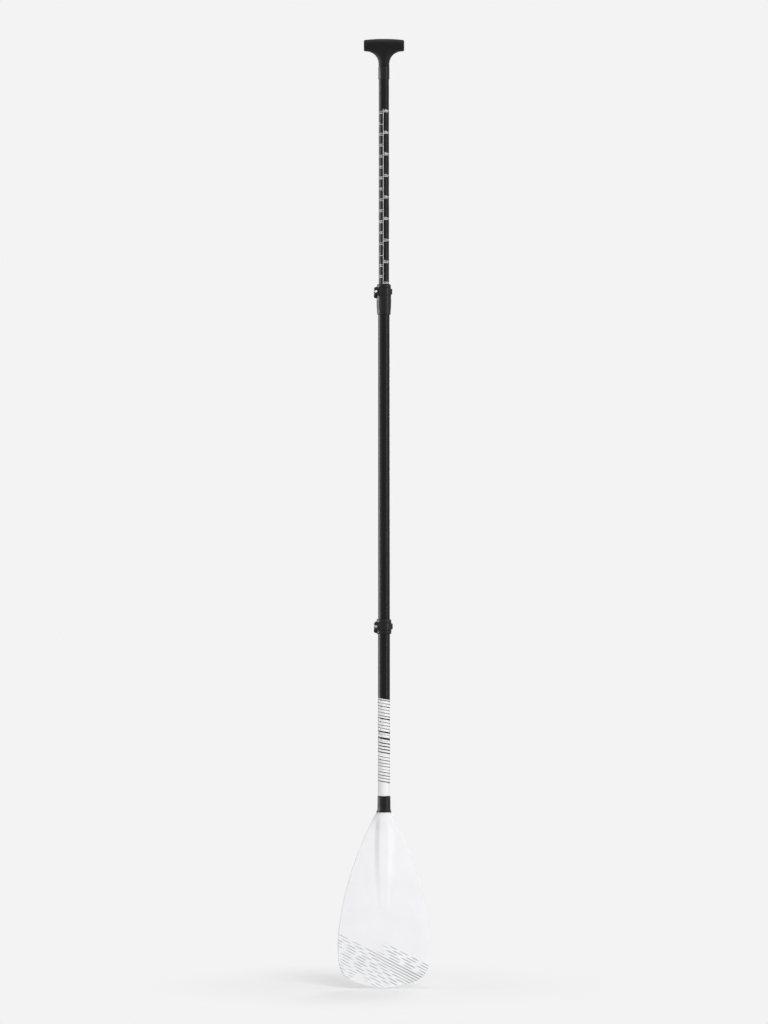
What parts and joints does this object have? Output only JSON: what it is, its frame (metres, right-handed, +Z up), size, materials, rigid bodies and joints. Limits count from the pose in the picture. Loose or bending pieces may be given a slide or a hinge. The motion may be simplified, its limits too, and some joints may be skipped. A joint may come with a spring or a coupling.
{
  "type": "single blade paddle",
  "caption": "Adjustable white and black single blade paddle for a stand-up board, with a T grip, a telescoping handle, lever clamps and a raked, ribbed blade.",
  "frame": {"origin": "on the shaft axis, where a holder grips the middle shaft, 420 mm above its shoulder", "axes": "+Z up the shaft towards the T grip, -Y out of the ribbed front of the blade, +X to the right seen from that front; the clamp ears and bolts are on the -X side"},
  "size_m": [0.214, 0.0855, 2.1999],
  "materials": {
    "tube_black": "satin black anodised aluminium tube, with a white printed height scale on the handle",
    "grip_black": "fine-grained matt black moulding",
    "moulded_black": "satin black moulded nylon",
    "insert_brown": "brown-black reinforced nylon",
    "nickel": "nickel-plated, lightly brushed",
    "spring_steel": "plain spring steel",
    "tube_white": "glass-fibre tube, satin black above, white with slanted black stripes below",
    "foam_grey": "closed-cell foam",
    "blade_white": "semi-gloss white moulding with a fading pattern of grey dashes towards the tip"
  },
  "bodies": {
    "shaft": {"middle_tube": "tube_black", "insert_tube": "insert_brown", "insert_end_plug": "insert_brown", "button_spring": "spring_steel", "upper_clamp_collar": "moulded_black", "upper_clamp_barrel": "moulded_black", "upper_clamp_bolt": "nickel", "upper_clamp_nut": "nickel", "lower_clamp_collar": "moulded_black", "lower_clamp_barrel": "moulded_black", "lower_clamp_bolt": "nickel", "lower_clamp_nut": "nickel", "blade_tube": "tube_white", "blade_tube_stopper": "foam_grey", "neck_ferrule": "moulded_black", "blade": "blade_white"},
    "handle": {"t_grip": "grip_black", "grip_sleeve": "grip_black", "handle_tube": "tube_black", "handle_end_plug": "moulded_black"},
    "upper_lever": {"upper_clamp_lever": "moulded_black"},
    "lower_lever": {"lower_clamp_lever": "moulded_black"},
    "snap_button_body": {"snap_button": "nickel"}
  },
  "joints": [
    {"name": "handle_slide", "type": "slide", "parent": "shaft", "child": "handle", "axis": [0, 0, 1], "range_m": [-0.4, 0.115]},
    {"name": "upper_lever_hinge", "type": "hinge", "parent": "shaft", "child": "upper_lever", "pos_m": [-0.0183, -0.0126, 0.34], "axis": [0, 0, -1], "range_deg": [0, 120]},
    {"name": "lower_lever_hinge", "type": "hinge", "parent": "shaft", "child": "lower_lever", "pos_m": [-0.0183, -0.0126, -0.4378], "axis": [0, 0, -1], "range_deg": [0, 120]},
    {"name": "snap_button_press", "type": "slide", "parent": "shaft", "child": "snap_button_body", "axis": [-0.2419, 0.9703, 0], "range_m": [-0.0024, 0], "stiffness_N_per_m": 600}
  ]
}
